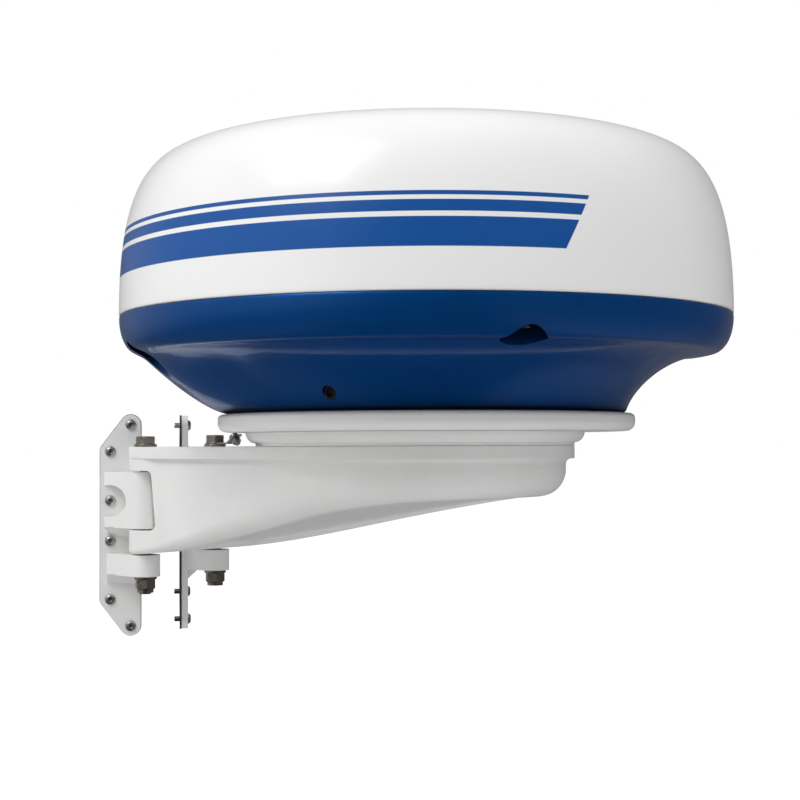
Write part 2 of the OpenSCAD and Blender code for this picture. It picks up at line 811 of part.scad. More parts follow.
module bearing_outer_rings() color(steel) bearing_rings(bearing_r, 14.9);
module bearing_inner_rings() color(steel) bearing_rings(11.1, 8.5);
module bearing_balls() color(steel) on_axis() for (z = bearing_z)
    around(9, ball_ring_r) translate([0, 0, z + bearing_t / 2]) sphere(r = 2.95);

module scanner_shaft() color(aluminium) on_axis() difference() {
    union() {
        rod(shaft_r, chassis_z + 6, 59.5);
        rod(11.5, gear_z - 5.9, 2);
        rod(22, gear_z - 4 - fit, 4);
    }
    rod(4.6, chassis_z, 80);
    // circlip groove
    ring(10, shaft_r - 0.8, chassis_z + 8, 1.5);
    at_hub_screws() rod(1.6, gear_z - 6, 10);
}

module shaft_circlip() color(dark) on_axis() translate([0, 0, chassis_z + 8.1]) difference() {
    ring(shaft_r + 2, shaft_r - 0.75, 0, 1.3);
    block([2, -3, -1], [20, 6, 4]);
}

// ---- gears and motor

pressure_angle = 20;
gear_slack = 0.16;           // thinning of each tooth at the pitch circle
motor_half = 21;
motor_shaft_r = 2.5;

function to_degrees(radians) = radians * 180 / PI;
function involute(angle) = to_degrees(tan(angle)) - angle;

// half angle of a tooth at a radius
function tooth_half(radius, pitch, base, teeth) =
    90 / teeth - to_degrees(gear_slack / pitch / 2) + involute(pressure_angle)
    - (radius > base ? involute(acos(base / radius)) : 0);

// outline of a spur gear
module spur(teeth) {
    pitch = gear_mod * teeth / 2;
    base = pitch * cos(pressure_angle);
    tip = pitch + gear_mod * 0.95;
    root = pitch - gear_mod * 1.25;
    start = max(root + 0.3, base);
    // radius and half angle up one flank
    flank = concat(
        [[root, tooth_half(start, pitch, base, teeth) + (root < base ? 0 : 0.2)]],
        [for (part = [0, 0.33, 0.67, 1])
            let (radius = start + (tip - start) * part)
            [radius, tooth_half(radius, pitch, base, teeth)]]);
    polygon([for (i = [0 : teeth - 1])
        let (middle = 360 * i / teeth)
        each concat(
            [for (k = [0 : 4]) on_circle([0, 0], flank[k][0], middle - flank[k][1])],
            [for (k = [4 : -1 : 0]) on_circle([0, 0], flank[k][0], middle + flank[k][1])])]);
}

module at_magnet() rotate([0, 0, 180]) translate([46, 0, 0]) children();

module main_gear() color(gear_ivory) on_axis() translate([0, 0, gear_z]) difference() {
    linear_extrude(height = gear_t) spur(main_teeth);
    rod(shaft_r + 0.03, -1, gear_t + 2);
    at_hub_screws() rod(1.7, -1, gear_t + 2);
    // lightening holes and a recessed web
    around(6, 37, 30) rod(9, -1, gear_t + 2);
    ring(52, 25, gear_t - 2.5, 4);
    at_magnet() rod(3.05, -4, 7.5);
}

module gear_screws() color(steel) on_axis() at_hub_screws() {
    rod(1.55, gear_z - 4, gear_t + 7.5);
    cap_head(3, 2.8, gear_top + 3.54);
}

module heading_magnet() color(magnet_grey) on_axis() at_magnet() rod(3, gear_z - 1.5, 4.9);

// foot, upright and top board, with the switch lying on it
module reed_switch() color(switch_green) on_axis() rotate([0, 0, 135]) {
    block([40, -6, seat_z], [12, 12, 2]);
    block([51, -6, seat_z], [2, 12, 45]);
    block([43, -5, chassis_z + 47], [10, 10, 1.6]);
    translate([46, 4, chassis_z + 49.2]) rotate([90, 0, 0]) cylinder(r = 1.1, h = 8);
}

module at_motor() translate([arm_reach + gear_centres, 0, 0]) children();

module motor_body() color(dark) at_motor() difference() {
    union() {
        rod(21, seat_z + 3, 34);
        for (z = [0, 34])
            block([-motor_half, -motor_half, seat_z + z], [2 * motor_half, 2 * motor_half, 5]);
        rod(11, seat_z + 38, 2);
    }
    rod(motor_shaft_r + 0.06, seat_z - 1, 60);
    at_motor_screws() rod(1.75, seat_z - 1, 8);
    // cut-off corners
    around(4, 31.5, 45) rotate([0, 0, 45]) block([-6, -6, seat_z - 1], [12, 12, 60]);
}

module motor_shaft() color(steel) at_motor()
    rod(motor_shaft_r, seat_z + 2, gear_top + 1 - seat_z);

module motor_pinion() color(brass) at_motor() translate([0, 0, gear_z - 1]) difference() {
    union() {
        linear_extrude(height = gear_t + 0.9) spur(pinion_teeth);
        rod(8, -4.5, 5);
    }
    rod(motor_shaft_r + fit, -6, 20);
}

module motor_screws() color(steel) at_motor() at_motor_screws() {
    rod(1.6, chassis_z + 0.5, 9);
    rod(3, chassis_z - 2, 2 - fit);
}

// ---- aerial

bracket_z = gear_top + fit;
bracket_x = 17;              // face of the bracket's upright towards the axis
bracket_half = 60;
bracket_t = 3;
base_t = 3.5;                // thickness of the bracket's base
tray_x = bracket_x + bracket_t + fit;
tray_z = bracket_z + 8;
tray_t = 13;
tray_wall = 2.5;
cover_gap = 2.6;             // cover's edge inside the tray's outer face
slot_pitch = 20.5;

// screws that hold the tray to the bracket, pointing along +X
module at_aerial_screws(x) for (y = [-52, 0, 52], z = [24, 54])
    translate([x, y, bracket_z + z]) rotate([0, 90, 0]) children();

module rotary_joint_stator() color(brass) on_axis() {
    rod(7, chassis_z - 9, 8.4);
    rod(3.4, chassis_z - 1, 75);
    block([6, -3, chassis_z - 8], [10, 6, 6]);
}

module rotary_joint_rotor() color(brass) on_axis() difference() {
    union() {
        rod(6.5, gear_top + 10, 14);
        rod(12.5, gear_top + 3.55, 4);
        rod(9.5, gear_top + 6, 6);
    }
    rod(3.5, gear_z, 22.5);
}

module antenna_bracket() color(aluminium) on_axis() difference() {
    union() {
        rod(38, bracket_z, base_t);
        block([0, -bracket_half, bracket_z], [20, 2 * bracket_half, base_t]);
        block([bracket_x, -bracket_half, bracket_z], [bracket_t, 2 * bracket_half, 62]);
        // gussets
        for (y = [-44, 41])
            translate([17.5, y, bracket_z + 3]) rotate([90, 0, 0]) mirror([0, 0, 1])
                linear_extrude(height = 3) polygon([[0, 0], [-24, 0], [0, 46]]);
    }
    rod(8.6, bracket_z - 1, 10);
    at_hub_screws() rod(1.7, bracket_z - 1, 10);
    at_aerial_screws(10) cylinder(r = 1.7, h = 12);
}

module antenna_tray() color(aluminium) on_axis() difference() {
    block([tray_x, -aerial_half, tray_z], [tray_t, 2 * aerial_half, aerial_h]);
    block([22.5, -aerial_half + tray_wall, tray_z + tray_wall],
          [20, 2 * (aerial_half - tray_wall), aerial_h - 2 * tray_wall]);
    at_aerial_screws(10) cylinder(r = 1.7, h = 22);
}

// cover with a row of shallow slots, tilted to alternate sides
module antenna_cover() color(cover_cream) on_axis() difference() {
    block([24.5, -aerial_half + cover_gap, tray_z + cover_gap],
          [9.5, 2 * (aerial_half - cover_gap), aerial_h - 2 * cover_gap]);
    for (i = [-9 : 9])
        translate([33, i * slot_pitch, tray_z + aerial_h / 2])
            rotate([i % 2 == 0 ? 16 : -16, 0, 0])
                block([0, -1.6, -19], [3, 3.2, 38]);
}

module antenna_screws() color(steel) on_axis() at_aerial_screws(0) {
    rod(1.6, 15, 9);
    rod(3, 14.9, 2.08);
}

// ---- electronics

case_corner = [-112, -55, seat_z];
case_size = [66, 110, 33];
lid_inset = 5;               // lid screws, in from the edges of the case

board_z = seat_z + 8;
board_t = 1.6;
board_posts = [for (side = [-1, 1], x = [-38, 38], y = [58, 104]) [x, side * y]];

// corner and size of the blocks on the boards, from 1 above the board's underside
power_blocks = [
    [[12, 64, 0], [18, 22, 14]],
    [[-30, 90, 0], [34, 12, 9]],
    [[10, 94, 0], [22, 10, 11]]];
control_blocks = [
    [[-12, -92, 0], [24, 24, 2.6]],
    [[-30, -102, 0], [28, 9, 9]],
    [[18, -86, 0], [12, 14, 2.4]]];

module at_posts(posts) for (post = posts) translate(post) children();
module at_case() on_axis() translate(case_corner) children();
module at_lid() at_case() translate([0, 0, case_size.z + fit]) children();
module at_lid_screws()
    for (x = [lid_inset, case_size.x - lid_inset], y = [lid_inset, case_size.y - lid_inset])
        translate([x, y, 0]) children();

module transceiver_case() color(aluminium) at_case() difference() {
    union() {
        cube(case_size);
        // fins on the side towards the mast
        for (y = [8 : 12 : 104]) block([-4, y, 2], [5, 2.5, 29]);
    }
    block([2.5, 2.5, 2.5], [61, 105, 40]);
    block([20, 104, 8], [26, 8, 12]);
}

module transceiver_lid() color(aluminium) at_lid() difference() {
    union() {
        cube([case_size.x, case_size.y, 2.5]);
        block([2.7, 2.7, -2.5], [60.6, 104.6, 3]);
    }
    block([5, 5, -3], [56, 100, 3.8]);
    at_lid_screws() rod(1.7, -4, 10);
}

module lid_screws() color(steel) at_lid() at_lid_screws() {
    rod(1.6, -2.4, 6);
    // slotted head
    translate([0, 0, 2.5 + fit]) difference() {
        cylinder(r = 3, h = 1.8);
        block([-0.4, -4, 1], [0.8, 8, 2]);
    }
}

module board_standoffs() color(brass) on_axis() at_posts(board_posts) {
    rod(2.9, seat_z, 7.96);
    rod(1.4, chassis_z + 1, 14);
    rod(2.6, board_z + 1.64, 1.6, $fn = 6);
}

// bare board on the +Y (side 1) or -Y (side -1) half of the chassis
module board(side) translate([0, 0, board_z]) difference() {
    block([-43, side > 0 ? 53 : -109, 0], [86, 56, board_t]);
    at_posts([for (post = board_posts) if (post.y * side > 0) post]) rod(1.45, -1, 6);
}

module power_board() color(board_green) on_axis() {
    board(1);
    translate([0, 0, board_z + 1]) {
        for (x = [-22, -4]) translate([x, 72, 0]) cylinder(r = 7, h = 18);
        for (part = power_blocks) block(part[0], part[1]);
    }
}

module control_board() color(board_green) on_axis() {
    board(-1);
    translate([0, 0, board_z + 1]) {
        for (part = control_blocks) block(part[0], part[1]);
        for (i = [0 : 3]) translate([-35 + 6 * i, -66, 0]) cylinder(r = 2, h = 6);
    }
}

arm_casting();
riser_pad();
platform_plate();
platform_screws();
near_foot();
far_foot();
near_foot_pad();
far_foot_pad();
near_foot_rivets();
far_foot_rivets();
near_foot_bushes();
far_foot_bushes();
hinge_bolts();
hinge_washers();
hinge_nuts();
nut_inserts();
bonding_tab();
bonding_screw();
lower_radome();
base_gasket();
radome_bolts();
radome_bolt_washers();
upper_radome();
seam_gasket();
dome_inserts();
dome_bolts();
dome_bolt_washers();
breather_plug();
cable_gland();
gland_nut();
gland_seal();
power_data_cable();
chassis_plate();
chassis_screws();
bearing_housing();
bearing_outer_rings();
bearing_inner_rings();
bearing_balls();
scanner_shaft();
shaft_circlip();
main_gear();
gear_screws();
motor_body();
motor_shaft();
motor_pinion();
motor_screws();
rotary_joint_stator();
rotary_joint_rotor();
antenna_bracket();
antenna_tray();
antenna_cover();
antenna_screws();
transceiver_case();
transceiver_lid();
lid_screws();
power_board();
control_board();
board_standoffs();
heading_magnet();
reed_switch();
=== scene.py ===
"""Radar dome antenna: a white dome on a blue lower radome, held by a cast arm on two feet.

Row frame in metres, +Z up. The mast axis is X = Y = 0. The arm reaches along +X, its top
face at Z = 0, and carries the radome, whose upright axis is at X = 349 mm. Shapes are
drawn in millimetres; materials, lights and the camera are in metres.
"""

import json
from math import asin, atan2, cos, degrees, hypot, pi, radians, sin, sqrt

import bmesh
import bpy
import numpy as np
from mathutils import Matrix, Vector

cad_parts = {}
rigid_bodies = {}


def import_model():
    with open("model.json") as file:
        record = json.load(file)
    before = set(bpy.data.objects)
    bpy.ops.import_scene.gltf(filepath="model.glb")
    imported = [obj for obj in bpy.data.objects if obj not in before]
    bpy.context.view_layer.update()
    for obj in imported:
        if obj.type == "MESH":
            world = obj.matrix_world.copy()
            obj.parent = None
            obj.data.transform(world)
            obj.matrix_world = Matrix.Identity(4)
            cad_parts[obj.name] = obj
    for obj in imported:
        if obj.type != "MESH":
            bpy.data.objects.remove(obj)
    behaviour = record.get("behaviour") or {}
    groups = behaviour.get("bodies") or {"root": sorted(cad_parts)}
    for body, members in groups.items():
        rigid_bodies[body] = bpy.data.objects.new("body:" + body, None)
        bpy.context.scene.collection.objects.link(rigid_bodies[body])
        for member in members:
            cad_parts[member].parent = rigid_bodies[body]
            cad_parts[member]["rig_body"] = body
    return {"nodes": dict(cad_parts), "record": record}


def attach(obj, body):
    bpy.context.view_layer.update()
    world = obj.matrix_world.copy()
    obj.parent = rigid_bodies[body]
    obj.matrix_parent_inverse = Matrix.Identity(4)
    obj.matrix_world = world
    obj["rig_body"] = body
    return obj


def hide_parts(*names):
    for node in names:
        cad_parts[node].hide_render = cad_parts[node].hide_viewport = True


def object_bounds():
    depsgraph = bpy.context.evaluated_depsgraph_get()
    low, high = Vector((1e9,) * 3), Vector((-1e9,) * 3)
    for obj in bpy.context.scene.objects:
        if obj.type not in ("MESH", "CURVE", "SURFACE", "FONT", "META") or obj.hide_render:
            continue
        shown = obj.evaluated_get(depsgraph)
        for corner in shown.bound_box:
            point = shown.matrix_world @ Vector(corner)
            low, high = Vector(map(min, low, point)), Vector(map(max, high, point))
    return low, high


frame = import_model()
cad_lo, cad_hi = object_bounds()
scene = bpy.context.scene
NODE = frame["nodes"]

MM = 0.001
RADOME_X = 349.0        # radome axis
SEAM_Z = 102.0          # joint between the lower radome and the dome

# four pockets in the lower radome, each under a boss in the dome
POCKET_CIRCLE = 223.0
POCKET_ANGLES = [radians(-37.5 + 90 * i) for i in range(4)]


# ------------------------------------------------------------------ mesh tools

def shade(mesh, sharp):
    """Smooth shading except at edges sharper than the given degrees."""
    mesh.polygons.foreach_set("use_smooth", [True] * len(mesh.polygons))
    mesh.set_sharp_from_angle(angle=radians(sharp))


def tidy(ob, sharp=30.0, weld=None):
    """Outward normals and shading, after welding points closer than weld mm."""
    bm = bmesh.new()
    bm.from_mesh(ob.data)
    if weld:
        bmesh.ops.remove_doubles(bm, verts=bm.verts, dist=weld * MM)
        bmesh.ops.dissolve_degenerate(bm, dist=1e-7, edges=bm.edges)
        bmesh.ops.holes_fill(bm, edges=[e for e in bm.edges if e.is_boundary], sides=0)
    bmesh.ops.recalc_face_normals(bm, faces=bm.faces)
    bm.to_mesh(ob.data)
    bm.free()
    shade(ob.data, sharp)
    ob.data.update()


def make(name, verts, faces, sharp=30.0, weld=None):
    """A tidied object from millimetre points."""
    mesh = bpy.data.meshes.new(name)
    mesh.from_pydata([(x * MM, y * MM, z * MM) for x, y, z in verts], [], faces)
    ob = bpy.data.objects.new(name, mesh)
    scene.collection.objects.link(ob)
    tidy(ob, sharp, weld)
    return ob


def cut(ob, tool):
    """Takes the tool's volume out of the object and removes the tool."""
    mod = ob.modifiers.new("cut", "BOOLEAN")
    mod.operation, mod.object, mod.solver = "DIFFERENCE", tool, "EXACT"
    graph = bpy.context.evaluated_depsgraph_get()
    graph.update()
    mesh = bpy.data.meshes.new_from_object(ob.evaluated_get(graph))
    ob.modifiers.clear()
    ob.data = mesh
    bpy.data.objects.remove(tool)


def join(obs, name):
    """One object out of several, kept as separate shells."""
    bm = bmesh.new()
    for o in obs:
        bm.from_mesh(o.data)
    mesh = bpy.data.meshes.new(name)
    bm.to_mesh(mesh)
    bm.free()
    ob = bpy.data.objects.new(name, mesh)
    scene.collection.objects.link(ob)
    for o in obs:
        bpy.data.objects.remove(o)
    return ob


def skin(rings, n, closed=False):
    """Faces between neighbouring rings of n point numbers; a ring of one is a pole."""
    faces = []
    for a, b in zip(rings, rings[1:] + rings[:1] if closed else rings[1:]):
        if len(a) == 1 and len(b) == 1:
            continue
        for i in range(n):
            j = (i + 1) % n
            if len(a) == 1:
                faces.append((a[0], b[i], b[j]))
            elif len(b) == 1:
                faces.append((a[i], a[j], b[0]))
            else:
                faces.append((a[i], a[j], b[j], b[i]))
    return faces


def lathe(name, profile, x=0.0, y=0.0, n=64, closed=True, sharp=30.0):
    """Turns a list of (radius, height) about the upright axis through (x, y)."""
    verts, rings = [], []
    for r, z in profile:
        start = len(verts)
        if r < 1e-6:
            verts.append((x, y, z))
        else:
            for i in range(n):
                a = 2 * pi * i / n
                verts.append((x + r * cos(a), y + r * sin(a), z))
        rings.append(list(range(start, len(verts))))
    return make(name, verts, skin(rings, n, closed), sharp)


def arc(centre, r, start, end, n):
    """Points on an arc in a (radius, height) profile, angles in degrees."""
    angles = [radians(start + (end - start) * i / n) for i in range(n + 1)]
    return [(centre[0] + r * cos(a), centre[1] + r * sin(a)) for a in angles]


def cylinder(name, x, y, z0, z1, r, n):
    return lathe(name, [(0, z0), (r, z0), (r, z1), (0, z1)], x, y, n, closed=False)


def block(name, lo, hi):
    v = [(x, y, z) for x in (lo[0], hi[0]) for y in (lo[1], hi[1]) for z in (lo[2], hi[2])]
    return make(name, v, [(0, 1, 3, 2), (4, 6, 7, 5), (0, 4, 5, 1), (2, 3, 7, 6),
                          (0, 2, 6, 4), (1, 5, 7, 3)])


def weighted(ob):
    mod = ob.modifiers.new("normals", "WEIGHTED_NORMAL")
    mod.keep_sharp = True
    mod.weight = 60


def softened(node, width, segments=2, angle=35.0):
    """A copy of a CAD node with edges steeper than angle bevelled, standing for that node."""
    src = NODE[node]
    mesh = src.data.copy()
    ob = bpy.data.objects.new(node + "_piece", mesh)
    scene.collection.objects.link(ob)
    bm = bmesh.new()
    bm.from_mesh(mesh)
    bmesh.ops.remove_doubles(bm, verts=bm.verts, dist=2e-6)
    bmesh.ops.dissolve_limit(bm, angle_limit=radians(0.5), verts=bm.verts, edges=bm.edges)
    bmesh.ops.recalc_face_normals(bm, faces=bm.faces)
    bm.to_mesh(mesh)
    bm.free()
    shade(mesh, sharp=35.0)
    if width:
        mod = ob.modifiers.new("soft_edges", "BEVEL")
        mod.width, mod.segments, mod.limit_method = width * MM, segments, "ANGLE"
        mod.angle_limit = radians(angle)
        mod.use_clamp_overlap = True
        mod.harden_normals = False
        mod.miter_outer = "MITER_ARC"
    weighted(ob)
    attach(ob, src["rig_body"])
    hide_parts(node)
    return ob


# ------------------------------------------------------------------ curve tools

def linear(a, b, x):
    """0 at a and below, 1 at b and above, straight between."""
    return min(1.0, max(0.0, (x - a) / (b - a)))


def smoothstep(a, b, x):
    t = linear(a, b, x)
    return t * t * (3 - 2 * t)


def around(radius, angle):
    """X and Y of a point about the radome axis."""
    return RADOME_X + radius * cos(angle), radius * sin(angle)


def wrapped(angle):
    return (angle + pi) % (2 * pi) - pi


def smoothed(line, passes, lo, hi):
    """Averages points lo to hi of a line with their neighbours."""
    line = np.array(line, float)
    for _ in range(passes):
        soft = line.copy()
        soft[1:-1] = 0.25 * line[:-2] + 0.5 * line[1:-1] + 0.25 * line[2:]
        line[lo:hi] = soft[lo:hi]
    return line


def resample(line, n):
    """n points evenly spaced along a line."""
    line = np.asarray(line, float)
    s = np.concatenate([[0], np.cumsum(np.hypot(*(line[1:] - line[:-1]).T))])
    t = np.linspace(0, s[-1], n)
    return np.stack([np.interp(t, s, line[:, 0]), np.interp(t, s, line[:, 1])], 1)


def inset_line(line, thickness):
    """A line moved sideways, toward the inside of the shell."""
    moved = []
    for i in range(len(line)):
        a, b = line[max(i - 1, 0)], line[min(i + 1, len(line) - 1)]
        u = (b - a) / np.linalg.norm(b - a)
        moved.append((line[i][0] - u[1] * thickness, line[i][1] + u[0] * thickness))
    return np.array(moved)


# ------------------------------------------------------------------ lower radome

BASE_Z = 26             # underside
BASE_R = 160
RIM_Z = 100             # where the wall turns upright
WALL = 4.5
INNER_FLOOR_Z = 31

# (radius, height) rings: under the base, over the top edge, and across the inner floor
BASE_RINGS = [(60, 26), (120, 26), (150, 26), (158.2, 26.0), (159.4, 26.3)]
EDGE_RINGS = [(243.5, 101.55), (242.9, 101.85), (242.0, 101.9), (239.5, 101.9), (239.2, 101.6)]
FLOOR_RINGS = [(r, INNER_FLOOR_Z) for r in (150, 90, 30)]

# (radius, height): pocket from below, with a narrow hole and a wider one above it
POCKET = [(0, 10), (16.5, 10), (16.5, 83.2), (15.7, 84.7), (14.0, 85), (3.4, 85), (3.1, 85.3),
          (3.1, 97), (9, 97), (9, 110), (0, 110)]
POCKET_WALL_R = 20.5    # outside of the wall round each pocket
POCKET_WALL_Z = 52      # the inner face bends round the pockets above this


def flare(z):
    """Foot radius on the +X side: a rounded bowl."""
    return BASE_R + 70 * (1 - sqrt(max(0.0, 1 - ((z - BASE_Z) / 46.0) ** 1.4)))


def full(z):
    """Foot radius on the mast side: fuller."""
    return BASE_R + 71 * ((z - BASE_Z) / 50.0) ** 0.72


def rim(z):
    return 228 + 16 * sqrt(max(0.0, 1 - ((RIM_Z - z) / 28.5) ** 2))


def outer_line(foot, heights, rim_start, passes, blend):
    """Base to seam as (radius, height): foot and rim curves with their joint smoothed."""
    lower = resample([(foot(z), z) for z in heights], 46)
    rise = RIM_Z - rim_start
    z_rim = [rim_start + rise * (1 - cos(pi / 2 * i / 60)) for i in range(1, 61)]
    upper = resample([(rim(z), z) for z in z_rim] + [(243.75, 101.2)], 26)
    return smoothed(np.concatenate([lower, upper]), passes, *blend)


def build_lower_radome():
    n = 360
    front = outer_line(flare, [BASE_Z + 46 * (1 - (1 - i / 120) ** 2.2) for i in range(121)],
                       rim_start=72, passes=5, blend=(38, 54))
    rear = outer_line(full, [BASE_Z + 46.5 * i / 120 for i in range(121)],
                      rim_start=73.5, passes=9, blend=(36, 58))
    front_in, rear_in = inset_line(front, WALL), inset_line(rear, WALL)
    keep = [i for i in range(len(front)) if 34 < front_in[i][1] and 34 < rear_in[i][1]]
    front_in, rear_in = front_in[keep][::3], rear_in[keep][::3]
    verts, rings = [], []

    def ring(fore, aft, inner=False):
        """A ring from its (radius, height) toward +X and toward the mast."""
        rings.append(list(range(len(verts), len(verts) + n)))
        for i in range(n):
            a = 2 * pi * i / n
            k = smoothstep(98, 128, degrees(abs(wrapped(a))))
            r = fore[0] * (1 - k) + aft[0] * k
            z = fore[1] * (1 - k) + aft[1] * k
            if inner and z > POCKET_WALL_Z:
                for pocket in POCKET_ANGLES:
                    da = wrapped(a - pocket)
                    w = POCKET_CIRCLE * sin(da)
                    if abs(da) < 0.3 and abs(w) < POCKET_WALL_R:
                        r = min(r, POCKET_CIRCLE * cos(da) - sqrt(POCKET_WALL_R ** 2 - w * w))
            verts.append((*around(r, a), z))

    def pole(z):
        rings.append([len(verts)])
        verts.append((RADOME_X, 0, z))

    pole(BASE_Z)
    for q in BASE_RINGS:
        ring(q, q)
    for fore, aft in zip(front[1:], rear[1:]):
        ring(fore, aft)
    for q in EDGE_RINGS:
        ring(q, q)
    for fore, aft in zip(front_in[::-1], rear_in[::-1]):
        ring(fore, aft, inner=True)
    for q in FLOOR_RINGS:
        ring(q, q)
    pole(INNER_FLOOR_Z)
    ob = make("lower_radome_shell", verts, skin(rings, n), 35)

    cut(ob, join([lathe("pocket", POCKET, *around(POCKET_CIRCLE, a), n=72, closed=False)
                  for a in POCKET_ANGLES], "pockets"))
    # small hole through the wall, tilted 7 degrees from level
    a = radians(-79.3)
    hole = cylinder("hole", 0, 0, -14, 14, r=5.2, n=48)
    hole.matrix_world = (Matrix.Translation(Vector((*around(163.2, a), 38.5)) * MM)
                         @ Matrix.Rotation(a, 4, "Z") @ Matrix.Rotation(radians(97), 4, "Y"))
    bpy.context.view_layer.update()
    cut(ob, hole)
    tidy(ob, 32, weld=0.02)
    # pillars for the turntable chassis
    posts = [cylinder("post", *around(125, k * pi / 2), 30, 44, r=8, n=40) for k in range(4)]
    ob = join([ob] + posts, "lower_radome_shell")
    tidy(ob, 32)
    return ob


# ------------------------------------------------------------------ dome

DOME_Z = 97             # height of the curve's widest level
DOME_R = 244.6
DOME_RISE = 141

# (radius, height above the seam)
DOME_EDGE = [(244.2, 1.4), (244.1, 0.9), (243.8, 0.45), (243.3, 0.15), (242.6, 0.02),
             (232.0, 0.02), (232.0, 5)]
BOSS = [(5.02, 0.02), (9, 0.02), (9, 24), (0, 24), (0, 18), (5.02, 18)]


def above_seam(profile):
    return [(r, SEAM_Z + z) for r, z in profile]


def dome_line(inset):
    """Crown to seam as (radius, height): a superellipse, closer spaced near its foot."""
    line = []
    for i in range(141):
        t = pi / 2 * (1 - (i / 140) ** 1.6)
        r = (DOME_R - inset) * max(0.0, cos(t)) ** (2 / 10.6)
        z = DOME_Z + (DOME_RISE - inset) * max(0.0, sin(t)) ** (2 / 2.49)
        line.append((0.0 if i == 0 else r, z))
    return [q for q in line if q[1] > SEAM_Z + 2.0]


def build_dome():
    outer = resample(dome_line(0.4), 110)
    inner = [q for q in resample(dome_line(0.4 + WALL), 50) if q[1] > SEAM_Z + 5.2]
    profile = list(outer) + above_seam(DOME_EDGE) + inner[::-1]
    ob = lathe("dome_shell", profile, RADOME_X, n=256, closed=False)
    bosses = [lathe("boss", above_seam(BOSS), *around(POCKET_CIRCLE, a), n=40)
              for a in POCKET_ANGLES]
    ob = join([ob] + bosses, "dome_shell")
    tidy(ob)
    return ob


# ------------------------------------------------------------------ arm

HINGE_X, HINGE_Y, HINGE_R = 77.0, 45.0, 14.5    # the two rounded corners at the mast end
END_X, END_R = 341.0, 126.0                     # the round +X end
LIP_Z = -10.5                                   # underside of the lip round the top face

# (inset from the edge, height) down the face of the lip
LIP = [(1.2, 0), (0.7, -0.08), (0.3, -0.3), (0.08, -0.7), (0, -1.2), (0, -9.7), (0.1, -10.15),
       (0.35, -10.42), (0.7, LIP_Z)]
# radius of the rounding along the bottom edge, at each X
ROUNDING_X = [77, 95, 130, 180, 230, 262, 400, 467]
ROUNDING_R = [3, 5, 9, 14, 18, 19, 20, 22]
UNDERSIDE_POINTS = 12   # from the bottom rounding to the middle

# (radius, height) of the slots turned at each hinge and about the mast
HINGE_SLOT = [(0, -73), (14.4, -73), (15.0, -72.8), (15.2, -72.2), (15.2, -21.8), (15.0, -21.2),
              (14.4, -21), (0, -21)]
MAST_SLOT = [(0, -73), (85.4, -73), (86.3, -72.7), (86.6, -71.9), (86.6, -22.1), (86.3, -21.3),
             (85.4, -21), (0, -21)]
# (distance across the window, height)
WINDOW = [(-22, -73), (3.6, -73), (5.6, -72.6), (7.2, -71.5), (8.15, -69.9), (8.45, -67.9),
          (5.0, -25.4), (4.6, -23.3), (3.4, -21.8), (1.6, -21), (-22, -21)]
DIAGONAL = 0.70711      # X and Y parts of a unit step at 45 degrees


def underside(x):
    u = linear(HINGE_X, 460, x)
    return -94 + 54 * (0.38 * u + 2.5 * u * u - 1.9 * u ** 3)


def arm_edge():
    """(point, outward normal) along the -Y edge: round the hinge, straight, round the end."""
    reach = END_X - HINGE_X
    t = atan2(HINGE_Y, reach) - asin((END_R - HINGE_R) / hypot(reach, HINGE_Y)) - pi / 2
    n_hinge, n_side, n_end = 22, 90, 96

    def on_arc(x, y, r, a):
        return np.array([x + r * cos(a), y + r * sin(a)]), (cos(a), sin(a))

    start, normal = on_arc(HINGE_X, -HINGE_Y, HINGE_R, t)
    end, _ = on_arc(END_X, 0, END_R, t)
    return ([on_arc(HINGE_X, -HINGE_Y, HINGE_R, -pi + (t + pi) * i / n_hinge)
             for i in range(n_hinge)]
            + [(start + (end - start) * (i / n_side), normal) for i in range(n_side + 1)]
            + [on_arc(END_X, 0, END_R, t * (1 - i / n_end)) for i in range(1, n_end + 1)])


def arm_half_section(point, normal):
    """From the middle of the top, over the edge, to the middle of the underside."""
    x, y = point

    def at(inset, z):
        return (x - normal[0] * inset, y - normal[1] * inset, z)

    path = [at(inset, z) for inset, z in LIP]
    # the wall, set back under the lip, rounded at its top and bottom
    wall = 0.35 + 3.6 * smoothstep(84, 112, x) + 3.05 * linear(90, 310, x)
    r_top = min(4.6, max(0.2, wall - 0.9))
    r_low = float(np.interp(x, ROUNDING_X, ROUNDING_R))
    bottom = underside(min(x - normal[0] * (wall + r_low), 452))
    for k in range(1, 9):
        b = pi / 2 * k / 8
        path.append(at(wall - r_top + r_top * sin(b), LIP_Z - r_top + r_top * cos(b)))
    z_top, z_low = LIP_Z - r_top, bottom + r_low
    for k in range(1, 8):
        path.append(at(wall, z_top + (z_low - z_top) * k / 8))
    for k in range(13):
        b = pi / 2 * k / 12
        path.append(at(wall + r_low * (1 - cos(b)), bottom + r_low - r_low * sin(b)))
    # underside to the middle, with a shallow recess inside a flat rim
    xe, ye = path[-1][0], abs(path[-1][1])
    flat = min(5.0, ye * 0.3)
    step = min(1.6, ye * 0.1)
    depth = 5.0 - 4.6 * linear(100, 430, xe)
    fade = smoothstep(118, 132, xe) * smoothstep(0, 12, 438 - xe)
    for c in [flat * 0.5] + [flat + step * k for k in (0, 0.15, 0.5, 0.85, 1)]:
        path.append((xe, -(ye - c), bottom + depth * fade * smoothstep(flat, flat + step, c)))
    for k in range(1, 7):
        c = flat + step + (ye - flat - step) * k / 6
        path.append((xe, -(ye - c), bottom + depth * fade))
    top = [(path[0][0], path[0][1] * k / 5, 0) for k in range(5)]
    return top + path


